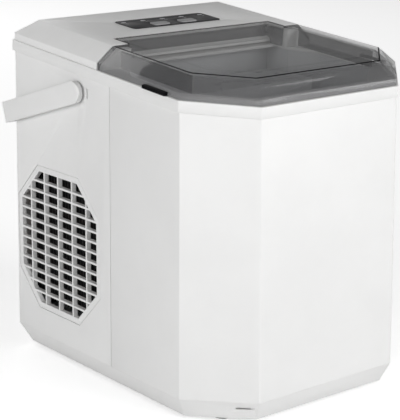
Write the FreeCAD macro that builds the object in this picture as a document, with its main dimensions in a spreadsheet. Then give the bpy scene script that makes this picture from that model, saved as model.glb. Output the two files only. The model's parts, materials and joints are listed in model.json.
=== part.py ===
import FreeCAD, Part
import math
import os
import re

import Sketcher
from FreeCAD import Placement, Rotation, Vector

# A countertop machine that makes bullet-shaped ice. Millimetres, +Z up, front towards -Y.
#
# Every piece is drawn in the housing frame: X = 0 on the centre plane, Y = 0 half-way along the
# rim, Z = 0 under the base pan. One common placement then moves it to the part frame, whose
# origin is the bottom centre of the whole machine's box.
# Deck pieces (rim, lid, top cover, control panel) are drawn in the deck frame, whose Z = 0 is the
# top face of the rim. The deck slopes down towards the front by deck_tilt.

doc = FreeCAD.newDocument("IceMaker")

SIZES = [
    # housing
    ("rim_width", 222, "outside width of the rim"),
    ("rim_depth", 270, "outside depth of the rim"),
    ("rim_level", 252.9, "rim top above the base pan's underside, at mid-depth"),
    ("rim_band", 9, "height of the rim's outer band"),
    ("rim_wall", 4.2, "thickness of the rim's outer band"),
    ("rim_plate", 2.5, "thickness of the rim's top plate"),
    ("rim_proud", 1.5, "the rim stands proud of the shells by this"),
    ("corner_x", 42, "front corner cut, along X"),
    ("corner_y", 44, "front corner cut, along Y"),
    ("corner_round", 2.5, "rounding of the upright edges"),
    ("deck_tilt", 4.55, "slope of the deck, degrees"),
    ("body_draft", 0.62, "the shells widen towards the bottom, degrees"),
    ("shell_wall", 2.5, "wall of the shells and the base pan"),
    ("seam_y", -3.4, "where the front and rear shells meet"),
    ("seam_gap", 0.4, "open line between the shells"),
    ("seam_lip", 1.2, "thickness of the locating lip behind that line"),
    ("base_rise", 16.4, "height of the base pan's sloped skirt"),
    ("base_tuck", 8, "the skirt tucks in by this at the bottom"),
    ("foot_rise", 3, "height of the rubber feet"),
    ("foot_radius", 9.5, "radius of the rubber feet"),
    ("foot_x", 74, "feet, sideways from the centre"),
    ("foot_front_y", 98, "front feet, forward of the middle"),
    ("foot_rear_y", 108, "rear feet, behind the middle"),
    # lid and top cover
    ("deck_inset", 1.3, "lid and cover stand in from the rim's edge"),
    ("skirt_rise", 5.6, "upright band of the lid and cover"),
    ("deck_rise", 17.6, "flat top above the rim"),
    ("hip_run", 14.4, "the sloped faces run in by this"),
    ("lid_wall", 2.2, "wall of the lid"),
    ("cover_wall", 2.2, "wall of the top cover"),
    ("lid_seat_gap", 0.3, "the closed lid clears the rim by this"),
    ("lid_step", 0.6, "raised field on the lid"),
    ("field_half", 79, "raised field, half width"),
    ("field_front", 105, "raised field, front edge forward of the middle"),
    ("field_corner_x", 26, "raised field, corner cut along X"),
    ("field_corner_y", 22, "raised field, corner cut along Y"),
    ("lid_side_y", 12.6, "rear edge of the lid's sides, behind the middle"),
    ("tab_half", 80, "half width of the lid's rear tongue"),
    ("hinge_y", 26.5, "lid hinge, behind the middle"),
    ("hinge_rise", 13, "lid hinge above the rim"),
    ("tab_reach", 6.5, "the tongue reaches behind the hinge by this"),
    ("swing_gap", 0.8, "room around the lid's swing"),
    ("rebate_y", 8.5, "front face of the cover's step under the lid, behind the middle"),
    ("rebate_gap", 0.5, "room between that step and the lid's inside"),
    ("hinge_pin_radius", 1.6, "radius of the lid's hinge pins"),
    ("hinge_pin_slack", 0.2, "the lid turns on its pins with this slack"),
    ("hinge_pin_length", 12, "length of a hinge pin"),
    ("boss_radius", 4.2, "radius of the hinge bosses"),
    ("boss_length", 8, "length of the lid's hinge bosses"),
    ("grip_length", 27, "finger grips on the lid's sides"),
    ("grip_reach", 3.6, "finger grips stand out of the lid by this"),
    ("grip_rise", 2.8, "height of the finger grips"),
    ("grip_y", 63.5, "finger grips, forward of the middle"),
    # bin opening in the rim
    ("side_land", 13, "rim's top face beside the opening"),
    ("front_land", 24, "rim's top face in front of the opening"),
    ("opening_corner_x", 41, "opening's front corner cut, along X"),
    ("opening_corner_y", 36.5, "opening's front corner cut, along Y"),
    ("shoulder_y", 16, "opening narrows from here, forward of the middle"),
    ("neck_half", 83, "half width of the opening's narrow rear part"),
    ("neck_y", 8.5, "the narrow part starts here, behind the middle"),
    ("neck_rear_y", 22, "opening's rear edge, behind the middle"),
    # control panel
    ("panel_width", 91, "control panel"),
    ("panel_depth", 30, "control panel, front to back"),
    ("panel_y", 69.8, "control panel's centre, behind the middle"),
    ("panel_x", 1.5, "control panel's centre, sideways"),
    ("panel_thick", 1, "control panel's overlay"),
    ("panel_sink", 0.6, "depth of the recess the overlay lies in"),
    ("panel_round", 4, "corner radius of the overlay"),
    ("button_width", 16, "button caps"),
    ("button_depth", 9, "button caps, front to back"),
    ("button_pitch", 28, "from one button to the other"),
    ("button_y", 7.4, "buttons, forward of the panel's centre"),
    ("button_slack", 0.3, "open line around a button"),
    ("button_travel", 0.8, "how far a button goes down"),
    ("button_proud", 0.9, "button caps stand above the overlay by this"),
    ("lamp_pitch", 20, "from one lamp to the next"),
    ("lamp_length", 5.5, "lamps, length"),
    ("lamp_width", 3, "lamps, width"),
    ("lamp_y", 8.4, "lamps, behind the panel's centre"),
    ("board_drop", 6.4, "the control board lies this far under the flat top"),
    ("board_thick", 1.6, "circuit boards"),
    # side grilles
    ("grille_y", 71.3, "grille's centre, behind the middle"),
    ("grille_z", 100.8, "grille's centre, height"),
    ("grille_width", 109.5, "open field of the grille, along Y"),
    ("grille_height", 113.5, "open field of the grille, along Z"),
    ("grille_cut", 27, "corner cut of the grille"),
    ("grille_border", 5.2, "plain border round the field"),
    ("grille_slack", 0.3, "open line round the grille insert"),
    ("grille_wall", 4, "depth of the grille's bars"),
    ("grille_bar", 1.7, "width of the grille's bars"),
    ("grille_column_pitch", 20.2, "from one upright bar to the next"),
    # carrying handle
    ("pivot_y", 39.215, "handle's pivot, behind the middle"),
    ("pivot_drop", 19.773, "handle's pivot, below the rim"),
    ("pivot_hole", 4.7, "radius of the pivot hole in the shell"),
    ("pivot_boss", 3.5, "radius of the handle's pivot boss"),
    ("handle_half", 8.9, "half the width of the handle's strap"),
    ("handle_reach", 110.7, "pivot to the outer face of the grip bar"),
    ("handle_bar", 7.5, "thickness of the grip bar"),
    ("handle_arm", 4.3, "thickness of the arms"),
    ("handle_gap", 0.7, "room between the handle's arms and the rim's sides"),
    ("handle_round", 4, "rounding of the handle"),
    ("handle_rest", 17.3, "the arms hang below level by this, degrees"),
    ("slit_ahead", 2.6, "slit in the rear shell, forward of the handle's round end"),
    ("slit_wide", 1.3, "width of that slit"),
    ("slit_half", 4, "half length of that slit"),
    ("clip_radius", 6.5, "retaining rings on the pivot bosses"),
    ("clip_thick", 1.2, "retaining rings, thickness"),
    # tank and basket
    ("tank_wall", 2, "wall of the tank"),
    ("tank_floor_z", 62, "tank floor, inside"),
    ("tank_rear_y", 12, "lower tank's rear wall, inside"),
    ("tray_gap", 3.9, "room behind the tray, to the upper tank's rear wall"),
    ("tray_under", 7.4, "room under the tray, to the floor of the tank's rear step"),
    ("foam_thick", 5, "insulation around the tank"),
    ("basket_gap", 4, "room between basket and tank"),
    ("basket_wall", 1.8, "wall of the basket"),
    ("basket_floor_z", 98, "basket's underside"),
    ("basket_drop", 68.9, "basket's rim, below the machine's rim"),
    ("basket_rear_y", 30, "basket's rear wall, forward of the middle"),
    ("basket_slot", 4, "width of the basket's slots"),
    ("basket_slot_pitch", 10, "from one slot to the next"),
    # freezing
    ("tray_y", 6, "water tray's axis, behind the middle"),
    ("tray_drop", 49.9, "water tray's axis, below the rim"),
    ("tray_radius", 24, "water tray, inside radius"),
    ("tray_wall", 1.6, "wall of the water tray"),
    ("tray_half", 74, "half length of the water tray"),
    ("tray_shaft_radius", 2.5, "stub shafts of the water tray"),
    ("finger_count", 7, "freezing fingers"),
    ("finger_pitch", 20, "from one finger to the next"),
    ("finger_radius", 4.5, "freezing fingers, radius"),
    ("finger_dip", 17, "freezing fingers reach this far below the tray's axis"),
    ("evaporator_lift", 10, "underside of the evaporator bar, above the tray's axis"),
    ("evaporator_half", 70, "half length of the evaporator bar"),
    ("hood_half", 78, "half width of the evaporator's cover"),
    ("hood_ahead", 33, "the cover's front edge, forward of the tray's axis"),
    ("hood_deep", 55, "depth of the evaporator's cover"),
    ("hood_lift", 27.5, "underside of the cover, above the tray's axis"),
    ("hood_wall", 2.4, "wall of the evaporator's cover"),
    ("hood_lip", 13, "height of the cover's front lip"),
    ("motor_radius", 13, "tray motor, radius"),
    ("motor_long", 11, "tray motor, length"),
    ("evaporator_high", 8, "height of the evaporator bar"),
    ("evaporator_deep", 11, "depth of the evaporator bar"),
    # water
    ("pump_x", 45, "pump's axis, right of the centre"),
    ("pump_y", 30, "pump's axis, forward of the middle"),
    ("pump_radius", 16, "pump body, radius"),
    ("pump_high", 30, "pump body, height"),
    ("pump_inlet", 4.5, "radius of the pump's inlet"),
    ("nozzle_x", 60, "water nozzle, right of the centre"),
    ("nozzle_lift", 17, "water nozzle, above the tray's axis"),
    ("nozzle_radius", 3, "water nozzle, outside radius"),
    ("nozzle_bore", 2, "water nozzle and hose, inside radius"),
    ("nozzle_long", 14, "water nozzle, length"),
    ("probe_x", 60, "level probe, left of the centre"),
    ("probe_y", 60, "level probe, forward of the middle"),
    ("probe_high", 20, "level probe, height of its stem"),
    ("eye_side", 8, "ice sensors, height and width"),
    ("eye_deep", 1.5, "ice sensors, depth"),
    ("eye_lift", 10, "ice sensors, above the basket's rim"),
    # fan, compressor and condenser
    ("fan_radius", 42, "fan blades"),
    ("fan_y", 72, "fan axis, behind the middle"),
    ("fan_z", 100, "fan axis, height"),
    ("fan_x", 75, "fan's middle, left of the centre"),
    ("fan_hub", 13, "radius of the fan's hub"),
    ("fan_deep", 14, "fan, front to back"),
    ("condenser_x", 96, "condenser's middle, left of the centre"),
    ("condenser_deep", 13, "condenser, through the fins"),
    ("condenser_wide", 104, "condenser, along Y"),
    ("condenser_high", 112, "condenser, height"),
    ("fin_pitch", 4, "from one fin to the next"),
    ("fin_thick", 0.5, "thickness of a fin"),
    ("tube_radius", 3, "copper tube"),
    ("compressor_x", 24, "compressor's axis, right of the centre"),
    ("compressor_y", 86, "compressor's axis, behind the middle"),
    ("compressor_radius", 38, "compressor shell"),
    ("compressor_z", 13, "compressor shell, lowest point"),
    ("compressor_high", 98, "compressor shell, height"),
    ("shroud_land", 10, "the fan's plate reaches past its hole by this, less the room round the blades"),
    ("shroud_gap", 2, "room round the fan blades"),
    ("shroud_thick", 3, "thickness of the fan's plate and arm"),
    ("fan_motor_radius", 14, "fan motor, radius"),
    ("fan_motor_long", 24, "fan motor, length"),
    ("fan_shaft_radius", 2, "fan shaft, radius"),
    ("foot_plate_half", 36, "compressor's foot plate, half side"),
    ("grommet_pitch", 60, "from one compressor grommet to the next"),
    ("grommet_radius", 5, "compressor grommets, radius"),
    ("drier_x", 36, "filter drier's axis, left of the centre"),
    ("drier_y", 112, "filter drier's axis, behind the middle"),
    ("drier_z", 120, "filter drier, lowest point"),
    ("drier_radius", 8, "filter drier, radius"),
    ("drier_long", 60, "filter drier, length"),
    # back
    ("screw_x", 96, "back screws, sideways from the centre"),
    ("screw_low_z", 30, "lower back screws, height"),
    ("screw_drop", 30.9, "upper back screws, below the rim"),
    ("screw_head", 3.2, "back screws, radius of the head"),
    ("screw_shank", 1.4, "back screws, radius of the shank"),
    ("vent_half", 45, "back vents, half length"),
    ("vent_low_z", 96, "lowest back vent, underside"),
    ("vent_pitch", 9, "from one back vent to the next"),
    ("vent_high", 4, "height of a back vent"),
    ("board_x", 76, "main board, right of the centre"),
    ("board_y", 48, "main board, front edge behind the middle"),
    ("board_z", 130, "main board, lower edge"),
    ("board_deep", 72, "main board, front to back"),
    ("board_high", 76, "main board, height"),
    ("drain_y", 10, "drain's inlet, forward of the middle"),
    ("cord_bore", 3.5, "radius of the bore in the cord gland"),
    ("gland_x", 70, "cord gland, right of the centre"),
    ("gland_z", 34, "cord gland, height"),
    ("drain_x", 30, "drain, left of the centre"),
    ("drain_z", 34, "drain, height"),
    ("drain_radius", 7, "drain spout, outside"),
    ("drain_bore", 5, "drain spout, inside"),
]

sheet = doc.addObject("Spreadsheet::Sheet", "Sizes")
for row, (alias, number, note) in enumerate(SIZES, start=1):
    sheet.set(f"A{row}", note)
    sheet.set(f"B{row}", str(number))
    sheet.setAlias(f"B{row}", alias)
doc.recompute()

# Names worked out from the sheet's own: what each one hangs on, so that it follows.
WORKED = {
    "handle_outer": "(rim_width/2+handle_gap+handle_arm)",
    "pivot_z": "(rim_level-pivot_drop)",
    "tank_back_y": "(tray_y+tray_radius+tray_wall+tray_gap)",
    "neck_floor_z": "(rim_level-tray_drop-tray_radius-tray_wall-tray_under)",
    "basket_top_z": "(rim_level-basket_drop)",
    "tray_z": "(rim_level-tray_drop)",
    "finger_bottom_z": "(rim_level-tray_drop-finger_dip)",
    "evaporator_z": "(rim_level-tray_drop+evaporator_lift)",
    "nozzle_z": "(rim_level-tray_drop+nozzle_lift)",
    "pump_z": "(tank_floor_z-tank_wall-pump_high-10)",
    "screw_high_z": "(rim_level-screw_drop)",
}
WORKED_NAME = re.compile(r"\b(" + "|".join(WORKED) + r")\b")
ALIAS = re.compile(r"\b(" + "|".join(alias for alias, _, _ in SIZES) + r")\b")
NODES = []


def size(alias):
    """The number in one named cell."""
    return float(getattr(sheet, alias))


def bind(thing, prop, text):
    """Tie a property to a formula in the sheet's names."""
    text = WORKED_NAME.sub(lambda found: WORKED[found.group(1)], f"({text})")
    thing.setExpression(prop, ALIAS.sub(r"Sizes.\1", text))


# ---- building blocks ----

def box(name, x, y, z, length, width, height):
    """A box from its lowest corner and its three sides."""
    thing = doc.addObject("Part::Box", name)
    for prop, text in (("Length", length), ("Width", width), ("Height", height)):
        bind(thing, prop, text)
    for axis, text in zip("xyz", (x, y, z)):
        bind(thing, f"Placement.Base.{axis}", text)
    return thing


AXIS_TURN = {"X": Rotation(Vector(0, 1, 0), 90), "Y": Rotation(Vector(1, 0, 0), -90), "Z": Rotation()}


def cylinder(name, axis, x, y, z, radius, length):
    """A cylinder that starts at a point and runs along +axis."""
    thing = doc.addObject("Part::Cylinder", name)
    thing.Placement = Placement(Vector(), AXIS_TURN[axis])
    bind(thing, "Radius", radius)
    bind(thing, "Height", length)
    for letter, text in zip("xyz", (x, y, z)):
        bind(thing, f"Placement.Base.{letter}", text)
    return thing


def ring(name, axis, x, y, z, radius, bore, length):
    """A round tube."""
    outer = cylinder(name + "_outer", axis, x, y, z, radius, length)
    inner = cylinder(name + "_bore", axis, x, y, z, bore, length)
    return cut(name, outer, inner)


def fuse(name, *things):
    """One solid from several that touch or overlap."""
    thing = doc.addObject("Part::MultiFuse", name)
    thing.Shapes = list(things)
    thing.Refine = True
    return thing


def group(name, *things):
    """Several separate solids under one name."""
    thing = doc.addObject("Part::Compound", name)
    thing.Links = list(things)
    return thing


def cut(name, base, *tools):
    """A solid less one or more tools."""
    thing = doc.addObject("Part::Cut", name)
    thing.Base = base
    thing.Tool = tools[0] if len(tools) == 1 else fuse(name + "_tools", *tools)
    thing.Refine = True
    return thing


def common(name, first, second):
    """What two solids share."""
    thing = doc.addObject("Part::Common", name)
    thing.Base = first
    thing.Tool = second
    thing.Refine = True
    return thing


def mirrored(name, thing):
    """The same piece on the other side of the centre plane."""
    copy = doc.addObject("Part::Mirroring", name)
    copy.Source = thing
    copy.Normal = Vector(1, 0, 0)
    return copy


def both_sides(name, thing):
    """A piece and its mirror image as separate solids."""
    return group(name, thing, mirrored(name + "_other_side", thing))


def prism(name, corners, start, height, taper="0", plane="XY_Plane", rounding=None):
    """A polygon padded along its plane's normal. A positive taper widens it, in degrees.

    corners are (across, up) formulas in the sketch's own axes. rounding, a formula, rounds the
    edges that run along the pad.
    """
    body = doc.addObject("PartDesign::Body", name)
    sketch = polygon_sketch(body, name + "_outline", corners, plane)
    bind(sketch, "AttachmentOffset.Base.z", start)
    pad = body.newObject("PartDesign::Pad", name + "_pad")
    pad.Profile = sketch
    bind(pad, "Length", height)
    bind(pad, "TaperAngle", taper)
    if rounding is not None:
        doc.recompute()
        along = [f"Edge{i}" for i, edge in enumerate(pad.Shape.Edges, start=1) if runs_along(edge, plane)]
        fillet = body.newObject("PartDesign::Fillet", name + "_rounding")
        fillet.Base = (pad, along)
        bind(fillet, "Radius", rounding)
        body.Tip = fillet
    return body


def polygon_sketch(body, name, corners, plane):
    """A closed polygon on one of a body's origin planes, each corner held by two formulas."""
    sketch = body.newObject("Sketcher::SketchObject", name)
    origin_plane = [f for f in body.Origin.OriginFeatures if f.Role == plane][0]
    sketch.AttachmentSupport = [(origin_plane, "")]
    sketch.MapMode = "FlatFace"
    count = len(corners)
    start_radius = 50
    rough = [Vector(start_radius * math.cos(math.tau * k / count),
                    start_radius * math.sin(math.tau * k / count), 0) for k in range(count)]
    for k in range(count):
        sketch.addGeometry(Part.LineSegment(rough[k], rough[(k + 1) % count]))
    for k in range(count):
        sketch.addConstraint(Sketcher.Constraint("Coincident", k, 2, (k + 1) % count, 1))
    for k, (across, up) in enumerate(corners):
        for kind, value, text in (("DistanceX", rough[k].x, across), ("DistanceY", rough[k].y, up)):
            index = sketch.addConstraint(Sketcher.Constraint(kind, -1, 1, k, 1, value))
            bind(sketch, f"Constraints[{index}]", text)
    return sketch


def runs_along(edge, plane):
    """Whether an edge runs mostly along a plane's normal."""
    ends = edge.Vertexes
    if len(ends) < 2:
        return False
    way = ends[1].Point - ends[0].Point
    along = {"XY_Plane": way.z, "XZ_Plane": way.y, "YZ_Plane": way.x}[plane]
    return abs(along) > 0.5 * way.Length


def plan(inset):
    """Corners of the housing's outline, moved in by a formula: square rear, cut front corners."""
    diagonal = "sqrt(corner_x^2+corner_y^2)"
    leg_x = f"(corner_x+({inset})*({diagonal}-corner_x-corner_y)/corner_y)"
    leg_y = f"(corner_y+({inset})*({diagonal}-corner_x-corner_y)/corner_x)"
    side = f"(rim_width/2-({inset}))"
    end = f"(rim_depth/2-({inset}))"
    return [(f"-{side}", end), (f"-{side}", f"-{end}+{leg_y}"), (f"-{side}+{leg_x}", f"-{end}"),
            (f"{side}-{leg_x}", f"-{end}"), (side, f"-{end}+{leg_y}"), (side, end)]


def opening_plan(grow, rear):
    """Corners of the bin opening, moved out by a formula, ending at a rear formula."""
    half = f"(rim_width/2-side_land+({grow}))"
    front = f"(rim_depth/2-front_land+({grow}))"
    neck = f"(neck_half+({grow}))"
    right = [(f"{half}-opening_corner_x", f"-{front}"), (half, f"-{front}+opening_corner_y"),
             (half, "-shoulder_y"), (neck, "neck_y"), (neck, rear)]
    left = [(f"-({x})", y) for x, y in reversed(right)]
    return right + left


def octagon(grow):
    """Corners of the grille's outline, moved out by a formula, in the side plane (Y, Z)."""
    half_y = f"(grille_width/2+({grow}))"
    half_z = f"(grille_height/2+({grow}))"
    cut_leg = f"(grille_cut+({grow})*(2-sqrt(2)))"
    outline = []
    for sign_y, sign_z in ((1, 1), (-1, 1), (-1, -1), (1, -1)):
        near_side = (f"grille_y+{sign_y}*{half_y}", f"grille_z+{sign_z}*({half_z}-{cut_leg})")
        near_end = (f"grille_y+{sign_y}*({half_y}-{cut_leg})", f"grille_z+{sign_z}*{half_z}")
        outline += [near_side, near_end] if sign_y * sign_z > 0 else [near_end, near_side]
    return outline


def slab(name, drop, thick):
    """A wide slab parallel to the deck. Its underside is below the rim's top face by drop."""
    thing = doc.addObject("Part::Box", name)
    thing.Placement = Placement(Vector(), Rotation(Vector(1, 0, 0), size("deck_tilt")))
    bind(thing, "Placement.Rotation.Angle", "deck_tilt")
    bind(thing, "Length", "2*rim_width")
    bind(thing, "Width", "2*rim_depth")
    bind(thing, "Height", thick)
    bind(thing, "Placement.Base.x", "-rim_width")
    bind(thing, "Placement.Base.y", f"-rim_depth*cos(deck_tilt)+({drop})*sin(deck_tilt)")
    bind(thing, "Placement.Base.z", f"rim_level-rim_depth*sin(deck_tilt)-({drop})*cos(deck_tilt)")
    return thing


def tube(name, points, radius, bend, bore=0.0):
    """A bent round tube: straight runs joined by tangent arcs of one bend radius."""
    edges = []
    start = Vector(points[0])
    for before, corner, after in zip(points, points[1:], points[2:]):
        back = (Vector(before) - Vector(corner)).normalize()
        ahead = (Vector(after) - Vector(corner)).normalize()
        half_turn = (math.pi - back.getAngle(ahead)) / 2
        reach = bend * math.tan(half_turn)
        enter = Vector(corner) + back * reach
        leave = Vector(corner) + ahead * reach
        middle = Vector(corner) + (back + ahead).normalize() * (bend / math.cos(half_turn) - bend)
        edges.append(Part.LineSegment(start, enter).toShape())
        edges.append(Part.Arc(enter, middle, leave).toShape())
        start = leave
    edges.append(Part.LineSegment(start, Vector(points[-1])).toShape())
    path = Part.Wire(edges)
    heading = (Vector(points[1]) - Vector(points[0])).normalize()

    def swept(section_radius):
        circle = Part.Circle(Vector(points[0]), heading, section_radius)
        return path.makePipeShell([Part.Wire([circle.toShape()])], True, False)

    solid = swept(radius)
    if bore:
        solid = solid.cut(swept(bore))
    thing = doc.addObject("Part::Feature", name)
    thing.Shape = solid
    return thing


# ---- where finished pieces go ----

# The machine's box runs from the front, where the shells are widest just above the base pan,
# to the handle's grip bar. BODY_FOOT is the shells' outline there, as a move in from the rim.
GRIP_REAR = ("(pivot_y+(handle_reach-handle_round)*cos(handle_rest)"
             "+(handle_half-handle_round)*sin(handle_rest)+handle_round)")
BODY_FOOT = "(rim_proud-(rim_level-rim_band-base_rise)*tan(body_draft))"
MID_Y = f"(-({GRIP_REAR}-rim_depth/2-max(0;-{BODY_FOOT}))/2)"


def node(name, thing, on_deck=False):
    """Names a finished piece and moves it from its drawing frame to the part frame."""
    if thing.TypeId in ("Part::Box", "Part::Cylinder", "Part::Feature"):
        thing = group(name + "_piece", thing)
    thing.Label = name
    if on_deck:
        thing.Placement = Placement(Vector(), Rotation(Vector(1, 0, 0), size("deck_tilt")))
        bind(thing, "Placement.Rotation.Angle", "deck_tilt")
        bind(thing, "Placement.Base.z", "foot_rise+rim_level")
    else:
        bind(thing, "Placement.Base.z", "foot_rise")
    bind(thing, "Placement.Base.y", MID_Y)
    NODES.append((name, thing))


# ---- housing ----

SHELL_HEIGHT = "(rim_level-base_rise+30)"


def shell_prism(name, inset, rounding=None):
    """The drafted outline of the shells, moved in by a formula, taller than the deck."""
    return prism(name, plan(f"{BODY_FOOT}+{inset}"), "base_rise", SHELL_HEIGHT, "-body_draft",
                 rounding=rounding)


def shell_wall(name):
    """The full-depth wall of the housing, up to the rim's underside."""
    outside = shell_prism(name + "_outside", "0", "corner_round")
    inside = shell_prism(name + "_inside", "shell_wall")
    return cut(name, outside, inside, slab(name + "_above", "rim_band", "200"))


def grille_prism(name, grow):
    """An octagonal plug through the left wall only."""
    return prism(name, octagon(grow), "-rim_width/2-10", "10+rim_proud+grille_wall+1", plane="YZ_Plane")


def base_pan():
    tuck = "atan(base_tuck/base_rise)"
    outside = prism("pan_outside", plan(f"{BODY_FOOT}+base_tuck"), "0", "base_rise", tuck,
                    rounding="corner_round")
    inside = prism("pan_inside", plan(f"{BODY_FOOT}+base_tuck+shell_wall"), "shell_wall", "base_rise", tuck)
    post = box("pan_post", "screw_x-6", "rim_depth/2-16", "shell_wall", "12", "6", "screw_low_z+8")
    pan = fuse("pan_with_posts", cut("pan_tub", outside, inside), post, mirrored("pan_post_left", post))
    hole = cylinder("pan_post_hole", "Y", "screw_x", "rim_depth/2-20", "screw_low_z", "screw_shank+0.1", "20")
    slit = box("pan_slit", "-80", "-rim_depth/2-4", "9.5", "10", "20", "1.8")
    node("base_pan", cut("pan", pan, hole, mirrored("pan_post_hole_left", hole), slit))


def rubber_feet():
    feet = []
    for side in (-1, 1):
        for name, y in (("front", "-foot_front_y"), ("rear", "foot_rear_y")):
            feet.append(cylinder(f"foot_{name}_{side + 1}", "Z", f"{side}*foot_x", y, "-foot_rise",
                                 "foot_radius", "foot_rise"))
    node("rubber_feet", group("feet", *feet))


def front_shell():
    wall = shell_wall("front_wall")
    behind = box("front_behind", "-rim_width", "seam_y", "0", "2*rim_width", "rim_depth", "2*rim_level")
    lip_ring = cut("front_lip_ring", shell_prism("front_lip_out", "shell_wall"),
                   shell_prism("front_lip_in", "shell_wall+seam_lip"),
                   slab("front_lip_above", "rim_band", "200"))
    lip_zone = box("front_lip_zone", "-rim_width", "seam_y-6", "0", "2*rim_width", "12", "2*rim_level")
    lip = common("front_lip", lip_ring, lip_zone)
    node("front_shell", fuse("front_shell_solid", cut("front_half", wall, behind), lip))


BACK_SCREWS = ("screw_low_z", "screw_high_z")


def rear_shell():
    wall = shell_wall("rear_wall")
    ahead = box("rear_ahead", "-rim_width", "seam_y+seam_gap-rim_depth", "0", "2*rim_width", "rim_depth",
                "2*rim_level")
    seat = grille_prism("rear_seat_left", "grille_border")
    pivot = cylinder("rear_pivot_left", "X", "-rim_width/2-10", "pivot_y", "pivot_z", "pivot_hole", "30")
    slit = box("rear_slit_left", "-rim_width/2-10", "pivot_y-handle_half-slit_ahead-slit_wide", "pivot_z-slit_half",
               "30", "slit_wide", "2*slit_half")
    tools = [ahead, seat, mirrored("rear_seat_right", seat), pivot, mirrored("rear_pivot_right", pivot),
             slit, mirrored("rear_slit_right", slit)]
    slot_count = 9
    for row in range(slot_count):
        tools.append(box(f"rear_slot_{row}", "-vent_half", "rim_depth/2-12", f"vent_low_z+{row}*vent_pitch",
                         "2*vent_half", "20", "vent_high"))
    gland = cylinder("rear_gland_hole", "Y", "gland_x", "rim_depth/2-20", "gland_z", "cord_bore+3.5", "40")
    drain = cylinder("rear_drain_hole", "Y", "-drain_x", "rim_depth/2-20", "drain_z", "drain_radius+0.3",
                     "40")
    tools += [gland, drain]
    for z in BACK_SCREWS:
        hole = cylinder(f"rear_screw_hole_{z}", "Y", "screw_x", "rim_depth/2-10", z, "screw_shank+0.3", "20")
        tools += [hole, mirrored(f"rear_screw_hole_left_{z}", hole)]
    node("rear_shell", cut("rear_shell_solid", wall, *tools))


def back_screws():
    screws = []
    for z in BACK_SCREWS:
        face = f"rim_depth/2-rim_proud+(rim_level-rim_band-{z})*tan(body_draft)"
        head = cylinder(f"screw_head_{z}", "Y", "screw_x", f"{face}+0.05", z, "screw_head", "1.6")
        shank = cylinder(f"screw_shank_{z}", "Y", "screw_x", f"{face}-14", z, "screw_shank", "14.1")
        screw = fuse(f"screw_{z}", head, shank)
        screws += [screw, mirrored(f"screw_left_{z}", screw)]
    node("back_screws", group("screws", *screws))


def grille_insert(name):
    """The octagonal grille: a border and a grid of bars that follow the wall's draft."""
    sheet_out = shell_prism(name + "_skin", "0.2")
    sheet_in = shell_prism(name + "_back", "0.2+grille_wall")
    skin = cut(name + "_skin_ring", sheet_out, sheet_in)
    plug = common(name + "_plug", skin, grille_prism(name + "_outline", "grille_border-grille_slack"))
    field = grille_prism(name + "_field", "0")
    border = cut(name + "_border", plug, field)
    bars = []
    for k in range(-2, 3):
        bars.append(box(f"{name}_upright_{k + 2}", "-rim_width/2-10", f"grille_y+({k})*grille_column_pitch-grille_bar/2",
                        "grille_z-grille_height/2-1", "40", "grille_bar", "grille_height+2"))
    rows = 13
    for k in range(1, rows):
        bars.append(box(f"{name}_level_{k}", "-rim_width/2-10", "grille_y-grille_width/2-1",
                        f"grille_z+({k}/{rows}-0.5)*grille_height-grille_bar/2", "40", "grille_width+2",
                        "grille_bar"))
    grid = common(name + "_grid", skin, common(name + "_grid_area", fuse(name + "_bars", *bars),
                  grille_prism(name + "_grid_outline", "0.5")))
    return fuse(name, border, grid)


def grilles():
    node("left_grille", grille_insert("left_insert"))
    node("right_grille", mirrored("right_insert", grille_insert("right_source")))


def top_rim():
    outside = prism("rim_outside", plan("0"), "-rim_band", "rim_band", rounding="corner_round")
    inside = prism("rim_inside", plan("rim_wall"), "-rim_band", "rim_band-rim_plate")
    opening = prism("rim_opening", opening_plan("0", "neck_rear_y"), "-30", "60")
    post = box("rim_post", "screw_x-6", "rim_depth/2-16", "-(screw_drop+15.1)", "12", "6", "screw_drop+15.1-rim_plate/2")
    plate = cut("rim_plate_solid", outside, inside, opening)
    solid = fuse("rim_with_posts", plate, post, mirrored("rim_post_left", post))
    # The back screws are level, so their holes stand off the deck's slope.
    screw_rise = f"(-(rim_depth/2-13)*sin(deck_tilt)+(screw_high_z-rim_level)*cos(deck_tilt))"
    screw_hole = cylinder("rim_screw_hole", "Y", "screw_x", "rim_depth/2-20", screw_rise, "2.2", "14")
    node("top_rim", cut("rim", solid, screw_hole, mirrored("rim_screw_hole_left", screw_hole)), on_deck=True)


# ---- lid and top cover ----

HIP_TAPER = "(-atan(hip_run/(deck_rise-skirt_rise)))"
TAB_RADIUS = "sqrt(tab_reach^2+(deck_rise+lid_step-hinge_rise)^2)"


def deck_hump(name, inset, drop, rounding=None):
    """The hipped form that the lid and top cover share, moved in and down by formulas."""
    band = prism(name + "_band", plan(f"deck_inset+{inset}"), "0", f"skirt_rise-({drop})", rounding=rounding)
    hips = prism(name + "_hips", plan(f"deck_inset+{inset}"), f"skirt_rise-({drop})", "deck_rise-skirt_rise",
                 HIP_TAPER, rounding=rounding)
    return fuse(name, band, hips)


def lid_zone(name):
    """Everything in front of the lid's rear outline: its sides end first, its tongue reaches on."""
    main = box(name + "_main", "-rim_width", "-rim_depth", "-5", "2*rim_width", "rim_depth+lid_side_y", "60")
    tongue = box(name + "_tongue", "-tab_half", "0", "-5", "2*tab_half", "hinge_y+tab_reach", "60")
    return fuse(name, main, tongue)


def lid_hollow_zone(name):
    """The lid's inside: closed round the tongue, open at the rear end of each side."""
    sides = box(name + "_sides", "-rim_width", "-rim_depth", "-5", "2*rim_width", "rim_depth+lid_side_y", "60")
    flank = box(name + "_flank", "tab_half", "0", "-5", "rim_width", "lid_side_y+10", "60")
    tongue = box(name + "_tongue", "-tab_half+lid_wall", "0", "-5", "2*(tab_half-lid_wall)",
                 "hinge_y+tab_reach-lid_wall", "60")
    return fuse(name, sides, flank, mirrored(name + "_flank_left", flank), tongue)


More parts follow.
